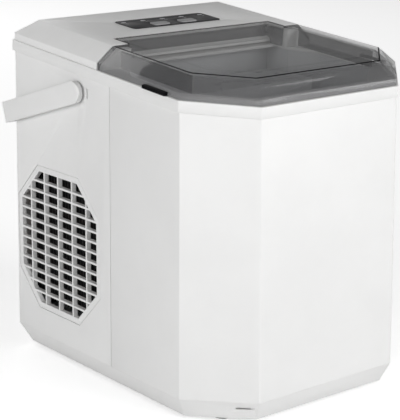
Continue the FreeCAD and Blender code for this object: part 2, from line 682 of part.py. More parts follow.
def lid():
    outer = common("lid_outer", deck_hump("lid_form", "0", "0", "corner_round"), lid_zone("lid_zone"))
    inner = common("lid_inner", deck_hump("lid_hollow_form", "lid_wall", "lid_wall"),
                   lid_hollow_zone("lid_hollow_zone"))
    field_right = [("field_half-field_corner_x", "-field_front"),
                   ("field_half", "-field_front+field_corner_y"),
                   ("field_half", "hinge_y+tab_reach-1")]
    field = prism("lid_field", field_right + [(f"-({x})", y) for x, y in reversed(field_right)],
                  "deck_rise-1", "1+lid_step")
    boss = cylinder("lid_boss", "X", "tab_half-boss_length", "hinge_y", "hinge_rise", "boss_radius", "boss_length")
    hollow = cut("lid_hollow", inner, boss, mirrored("lid_boss_left", boss))
    shell = cut("lid_shell", fuse("lid_with_field", outer, field), hollow)
    # Behind and below the hinge the tongue is round, so that it turns inside the cover's notch.
    heel = box("lid_heel", "-tab_half-1", "hinge_y", "-1", "2*tab_half+2", "60", "1+hinge_rise")
    heel_round = cylinder("lid_heel_round", "X", "-tab_half-2", "hinge_y", "hinge_rise", TAB_RADIUS,
                          "2*tab_half+4")
    seat = box("lid_seat", "-rim_width", "-rim_depth", "-5", "2*rim_width", "2*rim_depth", "5+lid_seat_gap")
    grip = box("lid_grip", "rim_width/2-deck_inset-lid_wall", "-grip_y-grip_length/2", "lid_seat_gap",
               "lid_wall+grip_reach", "grip_length", "grip_rise")
    whole = fuse("lid_whole", shell, grip, mirrored("lid_grip_left", grip))
    pin_hole = cylinder("lid_pin_hole", "X", "tab_half-boss_length-1", "hinge_y", "hinge_rise",
                        "hinge_pin_radius+hinge_pin_slack", "boss_length+2")
    node("lid", cut("lid_solid", whole, cut("lid_heel_cut", heel, heel_round), seat, pin_hole,
                    mirrored("lid_pin_hole_left", pin_hole)), on_deck=True)


PIN_START = "(tab_half+swing_gap+cover_wall+1.5-hinge_pin_length)"


def lid_hinge_pins():
    pin = cylinder("hinge_pin", "X", PIN_START, "hinge_y", "hinge_rise", "hinge_pin_radius",
                   "hinge_pin_length")
    node("lid_hinge_pins", both_sides("hinge_pins", pin), on_deck=True)


def lid_room(name, extra):
    """The room that the lid takes and swings through, grown by a formula."""
    ahead = box(name + "_ahead", "-rim_width", "-rim_depth", "-5", "2*rim_width",
                f"rim_depth+lid_side_y+swing_gap+{extra}", "60")
    notch = box(name + "_notch", f"-(tab_half+swing_gap+{extra})", "0", "-5",
                f"2*(tab_half+swing_gap+{extra})", "hinge_y", "60")
    turn = cylinder(name + "_turn", "X", f"-(tab_half+swing_gap+{extra})", "hinge_y", "hinge_rise",
                    f"{TAB_RADIUS}+swing_gap+{extra}", f"2*(tab_half+swing_gap+{extra})")
    return fuse(name, ahead, notch, turn)


def top_cover():
    outer = cut("cover_outer", deck_hump("cover_form", "0", "0", "corner_round"), lid_room("cover_room", "0"))
    inner = cut("cover_inner", deck_hump("cover_hollow_form", "cover_wall", "cover_wall"),
                lid_room("cover_hollow_room", "cover_wall"))
    ear = cylinder("cover_ear", "X", "tab_half+swing_gap", "hinge_y", "hinge_rise", "boss_radius", "cover_wall+3")
    hollow = cut("cover_hollow", inner, ear, mirrored("cover_ear_left", ear))
    # A step each side reaches forward under the lid's rear edge.
    step_zone = box("cover_step_zone", "tab_half+swing_gap", "rebate_y", "-1", "rim_width",
                    "lid_side_y+swing_gap+cover_wall/2-rebate_y", "60")
    step = common("cover_step", deck_hump("cover_step_form", "lid_wall+rebate_gap", "lid_wall+rebate_gap"),
                  step_zone)
    recess = panel_plate("cover_recess", "0.15", "deck_rise-panel_sink", "10")
    tools = [recess]
    for k in range(-2, 3):
        tools.append(lamp_plug(f"cover_lamp_hole_{k + 2}", k, "0.2", "deck_rise-10", "20"))
    for side in (-1, 1):
        tools.append(button_plug(f"cover_button_hole_{side + 1}", side, "button_slack", "deck_rise-10", "20"))
    pin_hole = cylinder("cover_pin_hole", "X", PIN_START, "hinge_y", "hinge_rise", "hinge_pin_radius",
                        "hinge_pin_length")
    tools += [pin_hole, mirrored("cover_pin_hole_left", pin_hole)]
    shell = fuse("cover_with_steps", cut("cover_shell", outer, hollow), step, mirrored("cover_step_left", step))
    node("top_cover", cut("cover_solid", shell, *tools), on_deck=True)


# ---- control panel ----

def rounded_plate(name, x, y, z, length, width, height, rounding):
    """A flat plate with rounded corners, centred at a point."""
    half_x = f"({length})/2"
    half_y = f"({width})/2"
    corners = [(f"{x}-{half_x}", f"{y}-{half_y}"), (f"{x}+{half_x}", f"{y}-{half_y}"),
               (f"{x}+{half_x}", f"{y}+{half_y}"), (f"{x}-{half_x}", f"{y}+{half_y}")]
    return prism(name, corners, z, height, rounding=rounding)


def panel_plate(name, grow, z, height):
    return rounded_plate(name, "panel_x", "panel_y", z, f"panel_width+2*{grow}", f"panel_depth+2*{grow}",
                         height, f"panel_round+{grow}")


def lamp_plug(name, place, grow, z, height):
    """An oval plug at one of the five lamps, counted from the middle one."""
    return rounded_plate(name, f"panel_x+({place})*lamp_pitch", "panel_y+lamp_y", z,
                         f"lamp_length+2*{grow}", f"lamp_width+2*{grow}", height, f"0.49*lamp_width+{grow}")


def button_plug(name, side, grow, z, height):
    """A rounded plug at one of the two buttons: side is -1 or 1."""
    return rounded_plate(name, f"panel_x+({side})*button_pitch/2", "panel_y-button_y", z,
                         f"button_width+2*{grow}", f"button_depth+2*{grow}", height, f"0.3*button_depth+{grow}")


PANEL_TOP = "(deck_rise-panel_sink+panel_thick)"


def control_panel():
    plate = panel_plate("panel_plate", "0", "deck_rise-panel_sink", "panel_thick")
    holes = [button_plug(f"panel_button_hole_{side + 1}", side, "button_slack", "deck_rise-5", "20")
             for side in (-1, 1)]
    holes += [lamp_plug(f"panel_lamp_hole_{k + 2}", k, "0", "deck_rise-5", "20") for k in range(-2, 3)]
    node("control_panel", cut("panel", plate, *holes), on_deck=True)
    lamps = [lamp_plug(f"lamp_{k + 2}", k, "0", "deck_rise-panel_sink", "panel_thick") for k in range(-2, 3)]
    node("indicator_lamps", group("lamps", *lamps), on_deck=True)
    for name, side in (("button_select", -1), ("button_power", 1)):
        foot = f"(deck_rise-board_drop+{SWITCH_RISE}+button_travel+0.1)"
        cap = button_plug(name + "_cap", side, "0", foot, f"{PANEL_TOP}+button_proud-{foot}")
        node(name, cap, on_deck=True)


SWITCH_RISE = "2.2"


def control_board():
    x = f"(panel_x-panel_width/2)"
    board = box("board_plate", x, "panel_y-panel_depth/2", "deck_rise-board_drop-board_thick", "panel_width",
                "panel_depth", "board_thick")
    node("control_board", board, on_deck=True)
    switches = [box(f"switch_{side + 1}", f"panel_x+({side})*button_pitch/2-3", "panel_y-button_y-3",
                    "deck_rise-board_drop", "6", "6", SWITCH_RISE) for side in (-1, 1)]
    node("push_switches", group("switches", *switches), on_deck=True)
    pillars = []
    for side in (-1, 1):
        for end in (-1, 1):
            pillars.append(cylinder(f"pillar_{side + 1}_{end + 1}", "Z", f"panel_x+({side})*(panel_width/2-5)",
                                    f"panel_y+({end})*(panel_depth/2-4)", "0", "2.5",
                                    "deck_rise-board_drop-board_thick"))
    node("board_pillars", group("pillars", *pillars), on_deck=True)


# ---- carrying handle ----

def handle():
    """A flat strap bent to a U, turning on two bosses. Drawn level, then hung at its rest angle."""
    inner = "(handle_outer-handle_arm)"
    arm = box("arm_strap", inner, "0", "-handle_half", "handle_arm", "handle_reach", "2*handle_half")
    end = cylinder("arm_end", "X", inner, "0", "0", "handle_half", "handle_arm")
    bar = box("grip_bar", "-handle_outer", "handle_reach-handle_bar", "-handle_half", "2*handle_outer",
              "handle_bar", "2*handle_half")
    # The strap's outer corners are round, seen from above and along the bar.
    round_plan = prism("handle_plan", [("-handle_outer", "-handle_half-1"), ("handle_outer", "-handle_half-1"),
                                       ("handle_outer", "handle_reach"), ("-handle_outer", "handle_reach")],
                       "-handle_half", "2*handle_half", rounding="handle_round")
    round_side = prism("handle_side", [("-handle_half-1", "-handle_half"), ("handle_reach", "-handle_half"),
                                       ("handle_reach", "handle_half"), ("-handle_half-1", "handle_half")],
                       "-handle_outer", "2*handle_outer", plane="YZ_Plane", rounding="handle_round")
    strap = fuse("handle_strap", arm, mirrored("arm_strap_left", arm), end, mirrored("arm_end_left", end), bar)
    shaped = common("handle_shaped", common("handle_rounded", strap, round_plan), round_side)
    boss = cylinder("handle_boss", "X", BOSS_INNER, "0", "0", "pivot_boss", f"{inner}-{BOSS_INNER}+1")
    groove = ring("handle_groove", "X", f"{CLIP_X}-0.1", "0", "0", "pivot_boss+1", "pivot_boss-0.8",
                  "clip_thick+0.2")
    level = cut("handle_level", fuse("handle_with_bosses", shaped, boss, mirrored("handle_boss_left", boss)),
                groove, mirrored("handle_groove_left", groove))
    node_on_pivot("handle", level)
    clip = ring("clip", "X", CLIP_X, "0", "0", "clip_radius", "pivot_boss-0.7", "clip_thick")
    node_on_pivot("handle_clips", both_sides("clips", clip))


WALL_AT_PIVOT = "(rim_width/2-rim_proud+(rim_level-rim_band-pivot_z)*tan(body_draft)-shell_wall)"
CLIP_X = f"({WALL_AT_PIVOT}-clip_thick-0.5)"
BOSS_INNER = f"({CLIP_X}-1.5)"


def node_on_pivot(name, thing):
    """Names a piece of the handle, hung at its rest angle about the pivot."""
    thing.Label = name
    thing.Placement = Placement(Vector(), Rotation(Vector(1, 0, 0), -size("handle_rest")))
    bind(thing, "Placement.Rotation.Angle", "-handle_rest")
    bind(thing, "Placement.Base.y", f"{MID_Y}+pivot_y")
    bind(thing, "Placement.Base.z", "foot_rise+pivot_z")
    NODES.append((name, thing))


# ---- tank, basket and water ----

def inner_tank():
    def hollow(name, grow, floor_drop):
        tall = "rim_level+20-tank_floor_z"
        lower = prism(name + "_lower", opening_plan(grow, f"tank_rear_y+({grow})"), f"tank_floor_z-({floor_drop})",
                      f"{tall}+{floor_drop}")
        upper = prism(name + "_upper", opening_plan(grow, f"tank_back_y+({grow})"),
                      f"neck_floor_z-({floor_drop})", f"rim_level+20-neck_floor_z+{floor_drop}")
        return fuse(name, lower, upper)

    tub = cut("tank_tub", hollow("tank_out", "tank_wall", "tank_wall"), hollow("tank_in", "0", "0"),
              slab("tank_above", "rim_plate", "200"))
    shaft_hole = cylinder("tank_shaft_hole", "X", "-rim_width/2", "tray_y", "tray_z", "tray_shaft_radius+0.5",
                          "rim_width")
    nozzle_hole = cylinder("tank_nozzle_hole", "Y", "nozzle_x", "tank_back_y-1", "nozzle_z", "nozzle_radius+0.2", "8")
    drain_hole = cylinder("tank_drain_hole", "Z", "-drain_x", "-drain_y", "tank_floor_z-10", "drain_bore", "20")
    pump_hole = cylinder("tank_pump_hole", "Z", "pump_x", "-pump_y", "tank_floor_z-10", "drain_bore", "20")
    node("inner_tank", cut("tank", tub, shaft_hole, nozzle_hole, drain_hole, pump_hole))




def foam_insulation():
    """A foam jacket round the lower tank, clear of the rear step."""
    low = "tank_floor_z-tank_wall"
    outside = prism("foam_outside", opening_plan("tank_wall+foam_thick", "tank_rear_y+tank_wall+foam_thick"),
                    f"{low}-foam_thick", "neck_floor_z-tank_floor_z-10")
    inside = prism("foam_inside", opening_plan("tank_wall+0.3", "tank_rear_y+tank_wall+0.3"), low, "400")
    drain_hole = cylinder("foam_drain_hole", "Z", "-drain_x", "-drain_y", "tank_floor_z-20", "drain_radius+1", "40")
    pump_hole = cylinder("foam_pump_hole", "Z", "pump_x", "-pump_y", "tank_floor_z-20", "drain_radius+1", "40")
    node("foam_insulation", cut("foam", outside, inside, drain_hole, pump_hole))


def ice_basket():
    rear = "-basket_rear_y"
    high = "basket_top_z-basket_floor_z"
    outside = prism("basket_outside", opening_basket("-basket_gap", rear), "basket_floor_z", high)
    inside = prism("basket_inside", opening_basket("-basket_gap-basket_wall", f"{rear}-basket_wall"),
                   "basket_floor_z+basket_wall", high)
    slots = []
    slot_columns = 7
    for k in range(-slot_columns, slot_columns + 1):
        slots.append(box(f"basket_slot_{k + slot_columns}", f"({k})*basket_slot_pitch-basket_slot/2", "-rim_depth/2",
                         "basket_floor_z+14", "basket_slot", "rim_depth", "basket_top_z-basket_floor_z-30"))
    node("ice_basket", cut("basket", cut("basket_tub", outside, inside), *slots))


def opening_basket(grow, rear):
    """The opening's front part, without its narrow neck."""
    half = f"(rim_width/2-side_land+({grow}))"
    front = f"(rim_depth/2-front_land+({grow}))"
    right = [(f"{half}-opening_corner_x", f"-{front}"), (half, f"-{front}+opening_corner_y"), (half, rear)]
    return right + [(f"-({x})", y) for x, y in reversed(right)]


def water_tray():
    """A half-round trough with closed ends, turning on its own axis under the fingers."""
    outside = cylinder("tray_outside", "X", "-tray_half", "tray_y", "tray_z", "tray_radius+tray_wall",
                       "2*tray_half")
    inside = cylinder("tray_inside", "X", "-tray_half+tray_wall", "tray_y", "tray_z", "tray_radius",
                      "2*(tray_half-tray_wall)")
    above = box("tray_above", "-tray_half-1", "tray_y-60", "tray_z", "2*tray_half+2", "120", "60")
    trough = cut("tray_trough", outside, inside, above)
    shaft = cylinder("tray_shaft", "X", "tray_half-tray_wall/2", "tray_y", "tray_z", "tray_shaft_radius",
                     "neck_half+14-tray_half+tray_wall/2")
    far_shaft = cylinder("tray_far_shaft", "X", "-neck_half-tank_wall", "tray_y", "tray_z", "tray_shaft_radius",
                         "neck_half+tank_wall-tray_half+tray_wall/2")
    # The shafts' roots stand on small bosses below the rim of the trough's ends.
    hub = cylinder("tray_hub", "X", "tray_half-tray_wall", "tray_y", "tray_z", "tray_shaft_radius+2", "tray_wall+2")
    node("water_tray", fuse("tray", trough, shaft, far_shaft, hub, mirrored("tray_hub_left", hub)))


def tray_motor():
    can = cylinder("motor_can", "X", "rim_width/2-side_land-3", "tray_y", "tray_z", "motor_radius", "motor_long")
    bore = cylinder("motor_bore", "X", "0", "tray_y", "tray_z", "tray_shaft_radius+0.3", "rim_width")
    node("tray_motor", cut("motor", can, bore))


def evaporator():
    bar = box("evaporator_bar", "-evaporator_half", "tray_y-evaporator_deep/2", "evaporator_z", "2*evaporator_half", "evaporator_deep",
              "evaporator_high")
    node("evaporator_bar", bar)
    fingers = []
    count = int(size("finger_count"))
    for k in range(count):
        x = f"({k}-({count}-1)/2)*finger_pitch"
        stem = cylinder(f"finger_stem_{k}", "Z", x, "tray_y", "finger_bottom_z+finger_radius", "finger_radius",
                        "evaporator_z-finger_bottom_z-finger_radius")
        tip = doc.addObject("Part::Sphere", f"finger_tip_{k}")
        bind(tip, "Radius", "finger_radius")
        for letter, text in zip("xyz", (x, "tray_y", "finger_bottom_z+finger_radius")):
            bind(tip, f"Placement.Base.{letter}", text)
        fingers.append(fuse(f"finger_{k}", stem, tip))
    node("freezing_fingers", group("fingers", *fingers))
    cover_outside = box("hood_outside", "-hood_half", "tray_y-hood_ahead", "tray_z+hood_lift", "2*hood_half",
                        "hood_deep", "hood_wall")
    lip = box("hood_front_lip", "-hood_half", "tray_y-hood_ahead", "tray_z+hood_lift+1.5-hood_lip", "2*hood_half",
              "1.8", "hood_lip")
    node("evaporator_cover", fuse("hood", cover_outside, lip))


def water_parts():
    body = cylinder("pump_body", "Z", "pump_x", "-pump_y", "pump_z", "pump_radius", "pump_high")
    inlet = cylinder("pump_inlet", "Z", "pump_x", "-pump_y", "pump_z+pump_high", "pump_inlet",
                     "tank_floor_z-pump_z-pump_high")
    node("water_pump", fuse("pump", body, inlet))
    node("water_nozzle", ring("nozzle", "Y", "nozzle_x", "tank_back_y-6", "nozzle_z", "nozzle_radius", "nozzle_bore",
                              "nozzle_long"))
    probe = cylinder("probe", "Z", "-probe_x", "-probe_y", "tank_floor_z", "3", "probe_high")
    float_ring = cylinder("probe_head", "Z", "-probe_x", "-probe_y", "tank_floor_z+probe_high", "6", "6")
    node("level_probe", fuse("probe_solid", probe, float_ring))
    eye = box("ice_eye", "rim_width/2-side_land-eye_deep", "-shoulder_y-30", "basket_top_z+eye_lift",
              "eye_deep", "eye_side", "eye_side")
    node("ice_sensors", both_sides("ice_eyes", eye))


def pump_hose():
    """The hose from the pump to the nozzle above the tray."""
    pump_x, pump_y, nozzle_x = size("pump_x"), -size("pump_y"), size("nozzle_x")
    nozzle_y = size("tray_y") + size("tray_radius") + size("tray_wall") + size("tray_gap") + 12.5
    high = size("rim_level") - size("tray_drop") + size("nozzle_lift")
    low = size("tank_floor_z") - size("tank_wall") - size("pump_high")
    points = [(pump_x, pump_y + size("pump_radius"), low), (pump_x, 26.0, low), (pump_x + 15, 44.0, low + 30),
              (nozzle_x, nozzle_y + 6, low + 120), (nozzle_x, nozzle_y + 6, high), (nozzle_x, nozzle_y - 4.5, high)]
    node("pump_hose", tube("hose", points, size("nozzle_radius"), 6.0, size("nozzle_bore")))


# ---- cooling circuit and fan ----

def compressor():
    can = cylinder("compressor_can", "Z", "compressor_x", "compressor_y", "compressor_z", "compressor_radius",
                   "compressor_high")
    doc.recompute()
    fillet = doc.addObject("Part::Fillet", "compressor_domes")
    fillet.Base = can
    round_edges = [i for i, edge in enumerate(can.Shape.Edges, start=1) if edge.Curve.TypeId == "Part::GeomCircle"]
    dome = 0.35 * size("compressor_radius")
    fillet.Edges = [(i, dome, dome) for i in round_edges]
    node("compressor", fillet)
    plate = box("foot_plate", "compressor_x-foot_plate_half", "compressor_y-foot_plate_half", "compressor_z-3",
                "2*foot_plate_half", "2*foot_plate_half", "2.9")
    node("compressor_plate", plate)
    pads = [cylinder(f"grommet_{a + 1}_{b + 1}", "Z", f"compressor_x+({a})*grommet_pitch/2", f"compressor_y+({b})*grommet_pitch/2",
                     "shell_wall", "grommet_radius", "compressor_z-3-shell_wall") for a in (-1, 1) for b in (-1, 1)]
    node("compressor_grommets", group("grommets", *pads))


def condenser():
    """Flat fins on copper tube, behind the left grille."""
    runs = 5
    low = "(grille_z-condenser_high/2)"
    tubes = []
    for k in range(runs):
        z = f"{low}+condenser_high*({k}+0.5)/{runs}"
        tubes.append(cylinder(f"condenser_run_{k}", "Y", "-condenser_x", "fan_y-condenser_wide/2-4", z,
                              "tube_radius", "condenser_wide+8"))
    holes = [cylinder(f"condenser_hole_{k}", "Y", "-condenser_x", "fan_y-condenser_wide/2-10",
                      f"{low}+condenser_high*({k}+0.5)/{runs}", "tube_radius+0.05", "condenser_wide+20")
             for k in range(runs)]
    node("condenser_tubes", group("condenser_runs", *tubes))
    fins = []
    count = int(size("condenser_wide") / size("fin_pitch")) + 1
    for k in range(count):
        y = f"fan_y+({k}-({count}-1)/2)*fin_pitch-fin_thick/2"
        fins.append(box(f"fin_{k}", "-condenser_x-condenser_deep/2", y, low, "condenser_deep", "fin_thick",
                        "condenser_high"))
    node("condenser_fins", cut("fins", group("fin_stack", *fins), *holes))


def fan():
    half = "(fan_radius+shroud_land)"
    frame = box("shroud_plate", "-condenser_x+condenser_deep/2+1", f"fan_y-{half}", "shell_wall", "shroud_thick",
                f"2*{half}", f"fan_z+{half}-shell_wall")
    hole = cylinder("shroud_hole", "X", "-condenser_x", "fan_y", "fan_z", "fan_radius+shroud_gap", "40")
    arm = box("shroud_arm", "-fan_x+fan_deep/2+2", "fan_y-4", "shell_wall", "shroud_thick", "8",
              "fan_z-shell_wall-fan_motor_radius")
    foot = box("shroud_foot", "-condenser_x+condenser_deep/2+1", "fan_y-4", "shell_wall",
               "condenser_x-condenser_deep/2-fan_x+fan_deep/2+4", "8", "4")
    node("fan_shroud", fuse("shroud", cut("shroud_frame", frame, hole), arm, foot))
    motor = cylinder("fan_motor_can", "X", "-fan_x+fan_deep/2+2", "fan_y", "fan_z", "fan_motor_radius",
                     "fan_motor_long")
    bore = cylinder("fan_motor_bore", "X", "-fan_x", "fan_y", "fan_z", "fan_shaft_radius+0.3", "fan_motor_long")
    node("fan_motor", cut("fan_motor_solid", motor, bore))
    hub = cylinder("fan_hub", "X", "-fan_x-fan_deep/2", "fan_y", "fan_z", "fan_hub", "fan_deep")
    shaft = cylinder("fan_shaft", "X", "-fan_x", "fan_y", "fan_z", "fan_shaft_radius", "fan_deep/2+16")
    blades = []
    blade_count = 5
    pitch_turn = Rotation(Vector(0, 0, 1), 32)
    for k in range(blade_count):
        blade = doc.addObject("Part::Box", f"fan_blade_{k}")
        bind(blade, "Length", "1.6")
        bind(blade, "Width", "20")
        bind(blade, "Height", "fan_radius-fan_hub")
        around = Rotation(Vector(1, 0, 0), 360 / blade_count * k)
        blade.Placement = Placement(around.multVec(Vector(4.5, -8, size("fan_hub") - 1.0)),
                                    around.multiply(pitch_turn))
        blades.append(blade)
    set_of_blades = fuse("fan_blade_set", *blades)
    bind(set_of_blades, "Placement.Base.x", "-fan_x")
    bind(set_of_blades, "Placement.Base.y", "fan_y")
    bind(set_of_blades, "Placement.Base.z", "fan_z")
    swept = cylinder("fan_swept", "X", "-fan_x-fan_deep/2", "fan_y", "fan_z", "fan_radius", "fan_deep")
    node("fan_blades", fuse("fan", hub, shaft, common("fan_blades_cut", set_of_blades, swept)))


def cooling_pipes():
    """Copper pipes between the compressor, the condenser and the evaporator, with the drier."""
    drier = cylinder("drier", "Z", "-drier_x", "drier_y", "drier_z", "drier_radius", "drier_long")
    node("filter_drier", drier)
    valve_body = box("valve_body", "-10", "50", "150", "22", "18", "26")
    node("hot_gas_valve", valve_body)
    top = size("compressor_z") + size("compressor_high")
    x, y = size("compressor_x"), size("compressor_y")
    tube_radius = size("tube_radius")
    discharge = [(x - 15, y + 10, top + 0.2), (x - 15, y + 10, 190.0), (-60.0, y + 10, 190.0),
                 (-60.0, 122.0, 190.0)]
    node("discharge_pipe", tube("discharge", discharge, tube_radius, 10.0))
    suction = [(x + 18, y, top + 0.2), (x + 18, y, 205.0), (x + 18, 60.0, 205.0)]
    node("suction_pipe", tube("suction", suction, tube_radius + 0.5, 12.0))


def main_board():
    node("main_board", box("main_board_plate", "board_x", "board_y", "board_z", "board_thick", "board_deep",
                           "board_high"))
    blocks = [box("board_relay", "board_x-16", "board_y+34", "board_z+20", "16", "14", "14"),
              box("board_transformer", "board_x-24", "board_y+52", "board_z+30", "24", "18", "22")]
    node("board_components", group("components", *blocks))




def drain():
    wall_y = "(rim_depth/2-rim_proud)"
    across = cylinder("drain_across", "Y", "-drain_x", "-drain_y", "drain_z", "drain_radius", f"{wall_y}+8+drain_y")
    down = cylinder("drain_down", "Z", "-drain_x", "-drain_y", "drain_z-drain_radius", "drain_radius",
                    "tank_floor_z-tank_wall-drain_z+drain_radius")
    across_bore = cylinder("drain_across_bore", "Y", "-drain_x", "-drain_y", "drain_z", "drain_bore", "rim_depth")
    down_bore = cylinder("drain_down_bore", "Z", "-drain_x", "-drain_y", "drain_z", "drain_bore", "100")
    node("drain_spout", cut("drain", fuse("drain_outside", across, down), fuse("drain_inside", across_bore, down_bore)))
    start = f"({wall_y}+8.3)"
    plug = cylinder("cap_plug", "Y", "-drain_x", f"{start}-6", "drain_z", "drain_bore-0.2", "7")
    head = cylinder("cap_head", "Y", "-drain_x", start, "drain_z", "drain_radius+2", "3")
    node("drain_cap", fuse("cap", plug, head))


def cord_gland():
    wall_y = "(rim_depth/2-rim_proud+(rim_level-rim_band-gland_z)*tan(body_draft))"
    flange = ring("gland_flange", "Y", "gland_x", f"{wall_y}+0.1", "gland_z", "cord_bore+6", "cord_bore", "3")
    neck = ring("gland_neck", "Y", "gland_x", f"{wall_y}-10", "gland_z", "cord_bore+3.2", "cord_bore", "11")
    node("cord_gland", fuse("gland", flange, neck))


for build in (base_pan, rubber_feet, front_shell, rear_shell, back_screws, grilles, top_rim, lid, lid_hinge_pins,
              top_cover, control_panel, control_board, handle, inner_tank, foam_insulation, ice_basket,
              water_tray, tray_motor, evaporator, water_parts, pump_hose, compressor, condenser, fan,
              cooling_pipes, main_board, drain, cord_gland):
    build()
doc.recompute()

failed = [thing.Name for thing in doc.Objects if "Invalid" in thing.State or "Error" in thing.State]
if failed:
    raise RuntimeError(f"objects failed to build: {failed}")

os.makedirs("parts", exist_ok=True)
for name, thing in NODES:
    shape = thing.Shape
    if shape.isNull() or not shape.isValid() or not shape.Solids:
        raise RuntimeError(f"{name} is not a valid solid")
    shape.exportStep(f"parts/{name}.step")
print(f"{len(NODES)} sub-parts written")
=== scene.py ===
import json
import math

import bpy
from mathutils import Matrix, Vector

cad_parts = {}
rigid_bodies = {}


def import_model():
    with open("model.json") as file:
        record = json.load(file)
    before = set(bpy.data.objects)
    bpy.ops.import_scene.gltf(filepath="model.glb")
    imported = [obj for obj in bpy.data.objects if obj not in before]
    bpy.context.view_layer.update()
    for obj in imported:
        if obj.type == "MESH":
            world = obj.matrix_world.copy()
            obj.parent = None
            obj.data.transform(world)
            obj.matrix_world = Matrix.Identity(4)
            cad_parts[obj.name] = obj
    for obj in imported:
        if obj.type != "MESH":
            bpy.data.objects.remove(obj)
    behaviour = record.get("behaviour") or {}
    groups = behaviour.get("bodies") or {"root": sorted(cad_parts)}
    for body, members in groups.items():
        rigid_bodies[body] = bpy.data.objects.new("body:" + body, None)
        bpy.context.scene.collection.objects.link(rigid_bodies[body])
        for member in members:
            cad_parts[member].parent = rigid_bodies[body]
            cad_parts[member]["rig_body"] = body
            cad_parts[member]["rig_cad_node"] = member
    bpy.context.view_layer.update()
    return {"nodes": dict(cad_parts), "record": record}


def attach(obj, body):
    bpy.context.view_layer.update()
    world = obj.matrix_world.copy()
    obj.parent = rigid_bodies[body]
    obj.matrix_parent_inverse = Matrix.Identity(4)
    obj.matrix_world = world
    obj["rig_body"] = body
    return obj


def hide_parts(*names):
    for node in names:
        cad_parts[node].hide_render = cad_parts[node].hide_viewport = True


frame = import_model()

CAD = frame["nodes"]
BODY_OF = {node: piece["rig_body"] for node, piece in CAD.items()}

# The deck's own frame: its origin is on the rim's top face, and it slopes down towards the front.
MILLIMETRE = 0.001
DECK_TILT = math.radians(4.55)
DECK = (Matrix.Translation((0, -5.2916 * MILLIMETRE, 255.9 * MILLIMETRE))
        @ Matrix.Rotation(DECK_TILT, 4, "X") @ Matrix.Scale(MILLIMETRE, 4))
TO_DECK = DECK.inverted()

# Heights above the rim, and what lies on the deck, in the deck's own millimetres.
PANEL_TOP = 18.0
BUTTON_TOP = 18.9
LAMP_PITCH, LAMP_LENGTH, LAMP_WIDTH = 20.0, 5.4, 2.8
PANEL_X, BUTTON_Y, LAMP_Y = 1.5, 62.4, 78.2
PRINT_LIFT, PRINT_THICK = 0.01, 0.04
STROKE = 0.26


# ---- camera, floor and light ----

def aim(thing, place, target):
    """Put a camera or a light at a place, looking at a target."""
    thing.location = place
    thing.rotation_euler = (Vector(target) - Vector(place)).to_track_quat("-Z", "Y").to_euler()


def camera():
    data = bpy.data.cameras.new("studio_camera")
    data.lens = 129.2
    data.sensor_width = 36
    data.clip_start = 0.02
    data.clip_end = 60
    eye = bpy.data.objects.new("studio_camera", data)
    bpy.context.scene.collection.objects.link(eye)
    aim(eye, (-0.7610, -0.9389, 0.4545), (-0.0159, -0.0018, 0.1317))
    bpy.context.scene.camera = eye


def softbox(name, place, target, width, height, power):
    data = bpy.data.lights.new(name, "AREA")
    data.shape = "RECTANGLE"
    data.size, data.size_y, data.energy = width, height, power
    lamp = bpy.data.objects.new(name, data)
    bpy.context.scene.collection.objects.link(lamp)
    aim(lamp, place, target)
    return lamp


def studio():
    bpy.context.scene.view_settings.view_transform = "Standard"
    world = bpy.data.worlds.new("studio_air")
    bpy.context.scene.world = world
    world.use_nodes = True
    nodes, links = world.node_tree.nodes, world.node_tree.links
    nodes.clear()
    out = nodes.new("ShaderNodeOutputWorld")
    air = nodes.new("ShaderNodeBackground")
    place = nodes.new("ShaderNodeTexCoord")
    split = nodes.new("ShaderNodeSeparateXYZ")
    ramp = nodes.new("ShaderNodeValToRGB")
    links.new(place.outputs["Generated"], split.inputs[0])
    links.new(split.outputs["Z"], ramp.inputs["Fac"])
    links.new(ramp.outputs["Color"], air.inputs["Color"])
    links.new(air.outputs[0], out.inputs[0])
    ramp.color_ramp.elements[0].position = 0.0
    ramp.color_ramp.elements[0].color = (1, 1, 1, 1)
    ramp.color_ramp.elements[1].position = 0.7
    ramp.color_ramp.elements[1].color = (0.22, 0.22, 0.22, 1)
    air.inputs["Strength"].default_value = 0.55
    middle = (0, 0, 0.14)
    softbox("key_softbox", (0.9, -2.6, 0.9), middle, 1.8, 1.4, 51)
    softbox("left_softbox", (-2.4, -0.6, 0.8), middle, 1.6, 1.4, 32)
    softbox("rear_softbox", (0.6, 2.4, 1.5), middle, 1.6, 1.2, 14)

    bpy.ops.mesh.primitive_plane_add(size=30, location=(0, 0, 0))
    floor = bpy.context.object
    floor.name = "studio_floor"
    paper = bpy.data.materials.new("pale_paper")
    paper.use_nodes = True
    shader = paper.node_tree.nodes["Principled BSDF"]
    shader.inputs["Base Color"].default_value = (0.86, 0.86, 0.86, 1)
    shader.inputs["Roughness"].default_value = 0.9
    shader.inputs["Specular IOR Level"].default_value = 0.1
    shader.inputs["Emission Color"].default_value = (1, 1, 1, 1)
    seen = paper.node_tree.nodes.new("ShaderNodeLightPath").outputs["Is Camera Ray"]
    glow = maths(paper.node_tree, "MULTIPLY", seen, 0.5)
    paper.node_tree.links.new(glow, shader.inputs["Emission Strength"])
    floor.data.materials.append(paper)


# ---- shared effects ----

def effect(name, inputs, outputs):
    """A shader node group with named number inputs and outputs."""
    group = bpy.data.node_groups.new(name, "ShaderNodeTree")
    for title, default in inputs:
        socket = group.interface.new_socket(title, in_out="INPUT", socket_type="NodeSocketFloat")
        socket.default_value = default
    for title, kind in outputs:
        group.interface.new_socket(title, in_out="OUTPUT", socket_type=kind)
    return group, group.nodes.new("NodeGroupInput"), group.nodes.new("NodeGroupOutput")


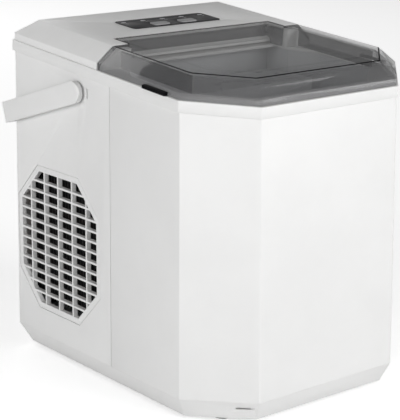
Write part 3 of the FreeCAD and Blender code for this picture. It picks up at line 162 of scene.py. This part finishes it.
def maths(tree, operation, first, second=None, clamp=False):
    node = tree.nodes.new("ShaderNodeMath")
    node.operation = operation
    node.use_clamp = clamp
    for socket, value in zip(node.inputs, (first, second)):
        if value is None:
            continue
        if isinstance(value, (int, float)):
            socket.default_value = value
        else:
            tree.links.new(value, socket)
    return node.outputs[0]


def noise(tree, scale, detail=3.0, roughness=0.55, stretch=None):
    """Noise over the piece's own coordinates. The scale is in waves to the metre."""
    place = tree.nodes.new("ShaderNodeTexCoord").outputs["Object"]
    if stretch is not None:
        mapping = tree.nodes.new("ShaderNodeMapping")
        mapping.inputs["Scale"].default_value = stretch
        tree.links.new(place, mapping.inputs["Vector"])
        place = mapping.outputs["Vector"]
    node = tree.nodes.new("ShaderNodeTexNoise")
    tree.links.new(place, node.inputs["Vector"])
    node.inputs["Detail"].default_value = detail
    node.inputs["Roughness"].default_value = roughness
    if isinstance(scale, (int, float)):
        node.inputs["Scale"].default_value = scale
    else:
        tree.links.new(scale, node.inputs["Scale"])
    return node.outputs["Fac"]


def steps(tree, value, low, high, to_low=0.0, to_high=1.0):
    node = tree.nodes.new("ShaderNodeMapRange")
    node.interpolation_type = "SMOOTHSTEP"
    tree.links.new(value, node.inputs["Value"])
    for title, number in (("From Min", low), ("From Max", high), ("To Min", to_low), ("To Max", to_high)):
        node.inputs[title].default_value = number
    return node.outputs["Result"]


def make_effects():
    made = {}

    # Spark-eroded mould grain: fine pits on a slow, faint swell.
    tree, given, out = effect("mould_grain", [("Scale", 4000), ("Depth", 1)], [("Height", "NodeSocketFloat")])
    pits = noise(tree, given.outputs["Scale"], 2.0)
    swell = noise(tree, 14.0, 1.0)
    both = maths(tree, "ADD", pits, maths(tree, "MULTIPLY", swell, 0.35))
    tree.links.new(maths(tree, "MULTIPLY", both, given.outputs["Depth"]), out.inputs["Height"])
    made["mould_grain"] = tree

    # Edge wear: where a rounded-off normal leaves the true one, broken up by noise.
    tree, given, out = effect("edge_wear", [("Radius", 0.0006), ("Amount", 1)],
                              [("Mask", "NodeSocketFloat"), ("Normal", "NodeSocketVector")])
    rounded = tree.nodes.new("ShaderNodeBevel")
    rounded.samples = 4
    tree.links.new(given.outputs["Radius"], rounded.inputs["Radius"])
    true_normal = tree.nodes.new("ShaderNodeNewGeometry").outputs["Normal"]
    dot = tree.nodes.new("ShaderNodeVectorMath")
    dot.operation = "DOT_PRODUCT"
    tree.links.new(rounded.outputs["Normal"], dot.inputs[0])
    tree.links.new(true_normal, dot.inputs[1])
    edge = steps(tree, maths(tree, "SUBTRACT", 1.0, dot.outputs["Value"]), 0.01, 0.2)
    broken = steps(tree, noise(tree, 220.0, 4.0), 0.38, 0.62)
    tree.links.new(maths(tree, "MULTIPLY", maths(tree, "MULTIPLY", edge, broken), given.outputs["Amount"]),
                   out.inputs["Mask"])
    tree.links.new(rounded.outputs["Normal"], out.inputs["Normal"])
    made["edge_wear"] = tree

    # A thin film of dust on what faces up.
    tree, given, out = effect("dust_film", [("Amount", 1)], [("Mask", "NodeSocketFloat")])
    split = tree.nodes.new("ShaderNodeSeparateXYZ")
    tree.links.new(tree.nodes.new("ShaderNodeTexCoord").outputs["Normal"], split.inputs[0])
    up = steps(tree, split.outputs["Z"], 0.35, 0.95)
    patches = steps(tree, noise(tree, 60.0, 5.0, 0.65), 0.35, 0.75)
    tree.links.new(maths(tree, "MULTIPLY", maths(tree, "MULTIPLY", up, patches), given.outputs["Amount"]),
                   out.inputs["Mask"])
    made["dust_film"] = tree

    # Slow unevenness of colour and gloss.
    tree, given, out = effect("uneven", [("Scale", 25)], [("Mask", "NodeSocketFloat")])
    tree.links.new(steps(tree, noise(tree, given.outputs["Scale"], 4.0, 0.6), 0.3, 0.7), out.inputs["Mask"])
    made["uneven"] = tree

    # Fine drawing or brushing lines along X, Y or Z.
    for axis, stretch in (("x", (0.02, 1, 1)), ("y", (1, 0.02, 1)), ("z", (1, 1, 0.02))):
        tree, given, out = effect("brushed_" + axis, [("Scale", 3000)], [("Mask", "NodeSocketFloat")])
        lines = noise(tree, given.outputs["Scale"], 2.0, 0.6, stretch)
        tree.links.new(steps(tree, lines, 0.25, 0.75), out.inputs["Mask"])
        made["brushed_" + axis] = tree
    return made


EFFECTS = make_effects()


# ---- materials ----

def placed(tree, name, **values):
    """One of the shared effects, placed in a material with its own values."""
    node = tree.nodes.new("ShaderNodeGroup")
    node.node_tree = EFFECTS[name]
    for title, number in values.items():
        node.inputs[title].default_value = number
    return node


def mixed(tree, mask, first, second):
    """A colour that goes from the first to the second with the mask."""
    node = tree.nodes.new("ShaderNodeMix")
    node.data_type = "RGBA"
    tree.links.new(mask, node.inputs["Factor"])
    for socket, value in ((node.inputs["A"], first), (node.inputs["B"], second)):
        if isinstance(value, tuple):
            socket.default_value = (*value, 1)
        else:
            tree.links.new(value, socket)
    return node.outputs["Result"]


def shade(colour, share):
    return tuple(min(1.0, part * share) for part in colour)


def blank(name):
    material = bpy.data.materials.new(name)
    material.use_nodes = True
    tree = material.node_tree
    return material, tree, tree.nodes["Principled BSDF"]


def bumped(tree, shader, height, distance, normal=None):
    bump = tree.nodes.new("ShaderNodeBump")
    bump.inputs["Distance"].default_value = distance
    tree.links.new(height, bump.inputs["Height"])
    if normal is not None:
        tree.links.new(normal, bump.inputs["Normal"])
    tree.links.new(bump.outputs["Normal"], shader.inputs["Normal"])


def moulded(name, colour, rough, grain=4200, depth=0.00003, wear=0.25, dust=0.12, radius=0.0006, worn=None):
    """Moulded plastic or rubber: mould grain, uneven gloss, paler worn edges and a little dust."""
    material, tree, shader = blank(name)
    edge = placed(tree, "edge_wear", Radius=radius, Amount=wear)
    base = mixed(tree, placed(tree, "uneven", Scale=18).outputs["Mask"], shade(colour, 0.985), shade(colour, 1.01))
    base = mixed(tree, edge.outputs["Mask"], base, worn or shade(colour, 1.15))
    base = mixed(tree, placed(tree, "dust_film", Amount=dust).outputs["Mask"], base, (0.62, 0.61, 0.59))
    tree.links.new(base, shader.inputs["Base Color"])
    gloss = steps(tree, placed(tree, "uneven", Scale=55).outputs["Mask"], 0, 1, rough - 0.03, rough + 0.04)
    tree.links.new(gloss, shader.inputs["Roughness"])
    bumped(tree, shader, placed(tree, "mould_grain", Scale=grain).outputs["Height"], depth, edge.outputs["Normal"])
    return material


def dull(material, level):
    """Lower a material's own gloss."""
    material.node_tree.nodes["Principled BSDF"].inputs["Specular IOR Level"].default_value = level
    return material


def metal(name, colour, rough, lines="z", tarnish=None, patch=0.5, grain=2600):
    """Bare metal: fine lines from drawing or rolling, and patches of tarnish."""
    material, tree, shader = blank(name)
    shader.inputs["Metallic"].default_value = 1.0
    brushed = placed(tree, "brushed_" + lines, Scale=grain).outputs["Mask"]
    base = mixed(tree, brushed, shade(colour, 0.86), shade(colour, 1.08))
    spots = steps(tree, noise(tree, 70.0, 6.0, 0.65), patch, patch + 0.25)
    base = mixed(tree, spots, base, tarnish or shade(colour, 0.7))
    tree.links.new(base, shader.inputs["Base Color"])
    tree.links.new(steps(tree, brushed, 0, 1, rough - 0.06, rough + 0.1), shader.inputs["Roughness"])
    edge = placed(tree, "edge_wear", Radius=0.0003, Amount=0)
    bumped(tree, shader, brushed, 0.00001, edge.outputs["Normal"])
    return material


def deck_height(tree):
    """How far a point is above the rim's top face, square to it, in metres."""
    dot = tree.nodes.new("ShaderNodeVectorMath")
    dot.operation = "DOT_PRODUCT"
    tree.links.new(tree.nodes.new("ShaderNodeTexCoord").outputs["Object"], dot.inputs[0])
    up = DECK.to_3x3().normalized() @ Vector((0, 0, 1))
    dot.inputs[1].default_value = up
    return maths(tree, "SUBTRACT", dot.outputs["Value"], up.dot(DECK.translation))


def smoked(name, top, slope, band, colour, band_painted_highlight_colour):
    """Smoke-tinted clear plastic: each face stops a share of the light, more at a slant. The band's paler colour
    is a painted highlight.
    """
    material, tree, shader = blank(name)
    shader.inputs["IOR"].default_value = 1.49
    height = deck_height(tree)
    on_band = steps(tree, height, 0.0052, 0.0058, 1, 0)
    on_top = steps(tree, height, 0.0150, 0.0154)
    stops = steps(tree, on_top, 0, 1, slope, top)
    stops = maths(tree, "ADD", stops, maths(tree, "MULTIPLY", on_band, band - slope))
    slant = tree.nodes.new("ShaderNodeLayerWeight")
    slant.inputs["Blend"].default_value = 0.25
    gleam = maths(tree, "MULTIPLY", steps(tree, slant.outputs["Facing"], 0.5, 1.0), 0.25)
    tree.links.new(maths(tree, "ADD", stops, gleam, clamp=True), shader.inputs["Alpha"])
    # The band takes a paler base colour than the rest of the lid: a painted highlight where light catches the edge
    # band.
    tree.links.new(mixed(tree, on_band, colour, band_painted_highlight_colour), shader.inputs["Base Color"])
    smear = placed(tree, "uneven", Scale=35).outputs["Mask"]
    tree.links.new(steps(tree, smear, 0, 1, 0.05, 0.12), shader.inputs["Roughness"])
    bumped(tree, shader, noise(tree, 30.0, 1.0), 0.00004)
    return material


MATERIALS = {
    "white_shell": moulded("satin_white_plastic", (0.80, 0.80, 0.795), 0.42),
    "white_handle": moulded("white_handle_plastic", (0.81, 0.81, 0.805), 0.36, wear=0.4),
    # The second, paler grey is the lid band's painted highlight.
    "smoky_lid": smoked("smoked_clear_plastic", 0.28, 0.46, 0.42, (0.125, 0.125, 0.128),
                         (0.27, 0.27, 0.275)),
    "panel_black": dull(moulded("printed_panel_film", (0.020, 0.020, 0.022), 0.5, grain=2500,
                                depth=0.000006, wear=0.3, dust=0.03), 0.12),
    "lamp_grey": moulded("frosted_lens", (0.40, 0.40, 0.41), 0.3, dust=0.05),
    "button_grey": moulded("soft_touch_grey", (0.26, 0.26, 0.265), 0.5, dust=0.05),
    "rubber_black": moulded("matt_black_rubber", (0.03, 0.03, 0.03), 0.8, grain=2200, depth=0.00006, dust=0.3),
    "screw_steel": metal("zinc_plated_steel", (0.60, 0.60, 0.61), 0.36),
    "pin_steel": metal("ground_steel", (0.62, 0.62, 0.63), 0.22, "x"),
    "liner_grey": moulded("liner_plastic", (0.60, 0.61, 0.62), 0.34, dust=0.02),
    "foam": moulded("rigid_foam", (0.85, 0.80, 0.62), 0.9, grain=900, depth=0.0004, dust=0.1),
    "basket_grey": moulded("basket_plastic", (0.30, 0.31, 0.32), 0.38, dust=0.02),
    "tray_white": moulded("tray_plastic", (0.72, 0.73, 0.74), 0.3, dust=0.02),
    "nickel": metal("bright_nickel", (0.72, 0.71, 0.69), 0.14),
    "copper": metal("drawn_copper", (0.80, 0.42, 0.27), 0.28, "z", (0.36, 0.19, 0.13), 0.48),
    # The fins are near-black as painted shade: this darkens the grille holes, where the space behind lies in
    # shadow.
    "fin_dark": moulded("fins_near_black_painted_shade", (0.018, 0.018, 0.019), 0.5, grain=1800, depth=0.00002, dust=0.25),
    "compressor_black": moulded("black_enamel", (0.02, 0.02, 0.021), 0.22, grain=700, depth=0.00006, dust=0.4),
    "galvanised": metal("galvanised_sheet", (0.62, 0.63, 0.64), 0.42, "y", (0.46, 0.47, 0.48), 0.5, 900),
    "fan_black": moulded("black_fan_plastic", (0.03, 0.03, 0.031), 0.4, dust=0.35),
    "motor_metal": metal("motor_can", (0.52, 0.52, 0.52), 0.35, "x"),
    "board_green": moulded("green_lacquer_board", (0.03, 0.16, 0.07), 0.3, grain=1500, depth=0.00002),
    "component_black": moulded("black_moulding", (0.025, 0.025, 0.026), 0.45, dust=0.1),
    "hose_clear": moulded("silicone_hose", (0.62, 0.62, 0.60), 0.35, dust=0.05),
    "gland_black": moulded("black_gland_nylon", (0.03, 0.03, 0.03), 0.42, dust=0.2),
    "cap_grey": moulded("grey_plug_rubber", (0.18, 0.18, 0.185), 0.6, dust=0.1),
    "valve_brass": metal("turned_brass", (0.75, 0.58, 0.30), 0.25, "x", (0.45, 0.33, 0.18)),
}
# Near-black finish for the lid's edge bevels, grips and rear ends: painted shade for refraction and shadow gaps,
# not the plastic's own colour.
PAINTED_DARK_EDGE = dull(moulded("painted_dark_edge_shade", (0.006, 0.006, 0.007), 0.5, depth=0.000004, wear=0, dust=0), 0.04)
SKIRT = dull(moulded("smoked_skirt", (0.05, 0.05, 0.052), 0.3, depth=0.00001, wear=0, dust=0), 0.25)
SKIRT.node_tree.nodes["Principled BSDF"].inputs["Alpha"].default_value = 0.5
PRINT = moulded("pale_print", (0.42, 0.42, 0.43), 0.5, depth=0.000004, wear=0, dust=0)
SLOT_OF = {row["node"]: row["material_slot"] for row in frame["record"]["subparts"]}


def dress(piece, slot):
    piece.data.materials.clear()
    piece.data.materials.append(MATERIALS[slot])


for node, piece in CAD.items():
    dress(piece, SLOT_OF[node])


# ---- making pieces ----

def alone(piece):
    bpy.ops.object.select_all(action="DESELECT")
    piece.select_set(True)
    bpy.context.view_layer.objects.active = piece


def on_deck(piece):
    """Move a piece from the deck's own frame, in its millimetres, to the machine's."""
    piece.matrix_world = DECK @ piece.matrix_world


def edit(piece):
    alone(piece)
    bpy.ops.object.mode_set(mode="EDIT")
    bpy.ops.mesh.select_all(action="SELECT")


def done_editing():
    bpy.ops.object.mode_set(mode="OBJECT")


def finished(piece, name, slot, body, *stands_for, angle=30):
    """Name a piece, put its place into its mesh, and tie it to its body."""
    piece.name = piece.data.name = name
    alone(piece)
    bpy.ops.object.transform_apply(location=True, rotation=True, scale=True)
    bpy.ops.object.shade_smooth_by_angle(angle=math.radians(angle))
    dress(piece, slot)
    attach(piece, body)
    if stands_for:
        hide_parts(*stands_for)
    return piece


def copied(node):
    """A copy of a moulded piece as clean faces: its triangles merged, and flat ones joined."""
    piece = CAD[node].copy()
    piece.data = CAD[node].data.copy()
    piece.parent = None
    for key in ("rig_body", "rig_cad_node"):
        if key in piece:
            del piece[key]
    bpy.context.scene.collection.objects.link(piece)
    edit(piece)
    bpy.ops.mesh.remove_doubles(threshold=2e-6)
    bpy.ops.mesh.dissolve_limited(angle_limit=math.radians(0.4))
    done_editing()
    return piece


def rounded_edges(piece, radius, segments=2, angle=34, weighted=False, material=-1):
    alone(piece)
    bevel = piece.modifiers.new("rounding", "BEVEL")
    bevel.width = radius
    bevel.segments = segments
    bevel.limit_method = "WEIGHT" if weighted else "ANGLE"
    bevel.angle_limit = math.radians(angle)
    bevel.use_clamp_overlap = True
    bevel.material = material
    bpy.ops.object.modifier_apply(modifier=bevel.name)


def softened(node, name, radius, segments=2, angle=34):
    """A copy of a moulded piece with its sharp edges rounded off."""
    piece = copied(node)
    rounded_edges(piece, radius, segments, angle)
    return finished(piece, name, SLOT_OF[node], BODY_OF[node], node)


LID_TOP = 17.6
LID_REAR = 12.6
LID_FIELD_X, LID_FIELD_Y = 79.5, -105.5
LID_SIDE_X = 80.5
GRIP_X, GRIP_FRONT, GRIP_BACK = 109.9, -78, -49


def smoked_lid():
    """The lid, with the dark lines that its thick clear edges show painted on as near-black bevels, and painted
    shade on its finger grips and rear end faces.
    """
    piece = copied("lid")
    weights = piece.data.attributes.new("bevel_weight_edge", "FLOAT", "EDGE")
    points = [TO_DECK @ vertex.co for vertex in piece.data.vertices]
    for edge in piece.data.edges:
        first, second = (points[i] for i in edge.vertices)
        level = all(abs(point.z - LID_TOP) < 0.05 for point in (first, second))
        outer = not any(abs(point.x) < LID_FIELD_X and point.y > LID_FIELD_Y
                        for point in (first, second))
        rear = all(abs(point.y - LID_REAR) < 0.05 and abs(point.x) > LID_SIDE_X
                   for point in (first, second))
        weights.data[edge.index].value = 1.0 if (level and outer) or rear else 0.0
    piece.data.materials.append(MATERIALS["smoky_lid"])
    piece.data.materials.append(PAINTED_DARK_EDGE)
    # The weighted edges are bevelled with the near-black second material: painted dark lines.
    rounded_edges(piece, 0.0007, weighted=True, material=1)
    for face in piece.data.polygons:
        centre = TO_DECK @ face.center
        grip = abs(centre.x) > GRIP_X and GRIP_FRONT < centre.y < GRIP_BACK
        rear_end = abs(centre.y - LID_REAR) < 0.5 and abs(centre.x) > LID_SIDE_X
        # Grip and rear-end faces take the near-black material too: painted shade.
        if grip or rear_end:
            face.material_index = 1
    dark = [face.material_index for face in piece.data.polygons]
    finished(piece, "smoked_lid", "smoky_lid", "lid", "lid")
    piece.data.materials.append(PAINTED_DARK_EDGE)
    piece.data.polygons.foreach_set("material_index", dark)


def drip_skirt(side):
    """The ribbed skirt inside the lid that keeps drips in the bin."""
    place = "left" if side < 0 else "right"
    bpy.ops.mesh.primitive_grid_add(x_subdivisions=88, y_subdivisions=2, size=2, location=(0, 0, 0))
    piece = bpy.context.object
    length, low, high, inner = 88.0, 0.9, 14.2, 91.5
    front, rib_depth, rib_pitch = -82, 0.55, 4.0
    for vertex in piece.data.vertices:
        along = (vertex.co.x + 1) / 2 * length
        rib = rib_depth * math.cos(2 * math.pi * along / rib_pitch)
        rise = (vertex.co.y + 1) / 2
        vertex.co = (side * (inner + rib), front + along, low + (high - low) * rise)
    wall = piece.modifiers.new("wall", "SOLIDIFY")
    wall.thickness = 0.9
    wall.offset = 0
    alone(piece)
    bpy.ops.object.modifier_apply(modifier=wall.name)
    edit(piece)
    bpy.ops.mesh.normals_make_consistent(inside=False)
    done_editing()
    on_deck(piece)
    finished(piece, place + "_drip_skirt", "smoky_lid", "lid")
    piece.data.materials.clear()
    piece.data.materials.append(SKIRT)


# ---- control panel ----

def joined(pieces):
    bpy.ops.object.select_all(action="DESELECT")
    for piece in pieces:
        piece.select_set(True)
    bpy.context.view_layer.objects.active = pieces[0]
    bpy.ops.object.join()
    return bpy.context.object


def print_bar(x, y, length, width, turn=0.0, top=PANEL_TOP):
    """A printed stroke with round ends, a few hundredths thick."""
    bpy.ops.mesh.primitive_circle_add(vertices=16, radius=width / 2, fill_type="NGON",
                                      location=(x, y, top + PRINT_LIFT))
    piece = bpy.context.object
    reach = max(0.0, length - width) / 2
    for vertex in piece.data.vertices:
        vertex.co.x += reach if vertex.co.x > 0 else -reach
    edit(piece)
    bpy.ops.mesh.extrude_region_move(TRANSFORM_OT_translate={"value": (0, 0, PRINT_THICK)})
    bpy.ops.mesh.select_all(action="SELECT")
    bpy.ops.mesh.normals_make_consistent(inside=False)
    done_editing()
    piece.rotation_euler.z = turn
    return piece


def print_ring(x, y, radius, width, start=0.0, sweep=360.0, top=PANEL_TOP):
    """A printed ring, or part of one, drawn as short strokes."""
    count = max(6, int(sweep / 20))
    strokes = []
    for k in range(count):
        angle = math.radians(start + sweep * (k + 0.5) / count)
        chord = 2 * radius * math.sin(math.radians(sweep / count / 2)) + width
        strokes.append(print_bar(x + radius * math.cos(angle), y + radius * math.sin(angle), chord, width,
                                 angle + math.pi / 2, top))
    return joined(strokes)


def printed(strokes, name, body):
    piece = joined(strokes)
    alone(piece)
    bpy.ops.object.transform_apply(location=True, rotation=True, scale=True)
    on_deck(piece)
    finished(piece, name, "lamp_grey", body)
    piece.data.materials.clear()
    piece.data.materials.append(PRINT)


def button_cap(name, node, body, x, y):
    """A rounded cap with a shallow dish, standing out of the film."""
    bpy.ops.mesh.primitive_cube_add(size=1, location=(x, y, 0))
    piece = bpy.context.object
    low = min((TO_DECK @ vertex.co).z for vertex in CAD[node].data.vertices)
    high = BUTTON_TOP
    piece.scale = (16, 9, high - low)
    piece.location.z = (low + high) / 2
    alone(piece)
    bpy.ops.object.transform_apply(location=True, rotation=True, scale=True)
    upright = piece.data.attributes.new("bevel_weight_edge", "FLOAT", "EDGE")
    for edge in piece.data.edges:
        first, second = (piece.data.vertices[i].co for i in edge.vertices)
        upright.data[edge.index].value = 1.0 if abs(first.z - second.z) > 1 else 0.0
    rounded_edges(piece, 2.2, segments=6, weighted=True)
    edit(piece)
    bpy.ops.mesh.select_all(action="DESELECT")
    bpy.ops.object.mode_set(mode="OBJECT")
    for face in piece.data.polygons:
        face.select = face.normal.z > 0.9
    bpy.ops.object.mode_set(mode="EDIT")
    bpy.ops.mesh.inset(thickness=0.35, depth=0.0)
    bpy.ops.mesh.inset(thickness=1.2, depth=-0.18)
    done_editing()
    rounded_edges(piece, 0.25, segments=3, angle=40)
    on_deck(piece)
    finished(piece, name, "button_grey", body, node)


def lamp_lens(x, y):
    """A small oval lens with a low crown."""
    bpy.ops.mesh.primitive_uv_sphere_add(segments=24, ring_count=10, radius=1, location=(x, y, PANEL_TOP - 0.05))
    piece = bpy.context.object
    piece.scale = (LAMP_LENGTH / 2, LAMP_WIDTH / 2, 0.22)
    alone(piece)
    bpy.ops.object.transform_apply(location=True, rotation=True, scale=True)
    for vertex in piece.data.vertices:
        vertex.co.z = max(vertex.co.z, PANEL_TOP - 0.15)
    return piece


def control_panel():
    left, right = PANEL_X - 14, PANEL_X + 14
    softened("control_panel", "panel_film", 0.00015)
    button_cap("select_cap", "button_select", "select_button", left, BUTTON_Y)
    button_cap("power_cap", "button_power", "power_button", right, BUTTON_Y)
    lenses = joined([lamp_lens(PANEL_X + k * LAMP_PITCH, LAMP_Y) for k in range(-2, 3)])
    on_deck(lenses)
    finished(lenses, "lamp_lenses", "lamp_grey", "chassis", "indicator_lamps")

    cap_top = BUTTON_TOP - 0.19
    printed([print_ring(right, BUTTON_Y, 1.7, 0.35, 120, 300, cap_top),
             print_bar(right, BUTTON_Y + 1.4, 1.7, 0.35, math.pi / 2, cap_top)], "power_mark", "power_button")
    printed([print_ring(left - 2, BUTTON_Y, 1.0, 0.3, 0, 360, cap_top),
             print_ring(left + 2, BUTTON_Y, 1.5, 0.3, 0, 360, cap_top)], "select_mark", "select_button")
    marks = []
    for k, build in enumerate((drop_mark, pellet_mark, large_pellet_mark, full_mark, run_mark)):
        marks += build(PANEL_X + (k - 2) * LAMP_PITCH, LAMP_Y - 5.0)
    printed(marks, "panel_marks", "chassis")


def drop_mark(x, y):
    return [print_ring(x, y - 0.3, 0.9, STROKE, 150, 240), print_bar(x - 0.45, y + 0.75, 1.6, STROKE, 1.1),
            print_bar(x + 0.45, y + 0.75, 1.6, STROKE, math.pi - 1.1)]


def pellet_mark(x, y):
    return [print_ring(x, y, 0.75, STROKE)]


def large_pellet_mark(x, y):
    return [print_ring(x, y, 1.15, STROKE)]


def full_mark(x, y):
    return [print_bar(x, y - 0.9, 2.4, STROKE), print_bar(x - 1.35, y, 2.0, STROKE, math.radians(105)),
            print_bar(x + 1.35, y, 2.0, STROKE, math.radians(75)), print_bar(x, y + 0.2, 1.4, STROKE)]


def run_mark(x, y):
    return [print_bar(x, y, 2.6, STROKE, math.radians(60 * k)) for k in range(3)]


studio()
camera()
smoked_lid()
for side in (-1, 1):
    drip_skirt(side)
control_panel()
for node, name, radius, segments in (
        ("top_cover", "cover_moulding", 0.0004, 2), ("top_rim", "rim_moulding", 0.0004, 2),
        ("front_shell", "front_moulding", 0.0004, 2), ("rear_shell", "rear_moulding", 0.0004, 2),
        ("base_pan", "base_moulding", 0.0005, 2), ("left_grille", "left_grille_moulding", 0.0002, 2),
        ("right_grille", "right_grille_moulding", 0.0002, 2), ("handle", "handle_moulding", 0.0005, 3)):
    softened(node, name, radius, segments)
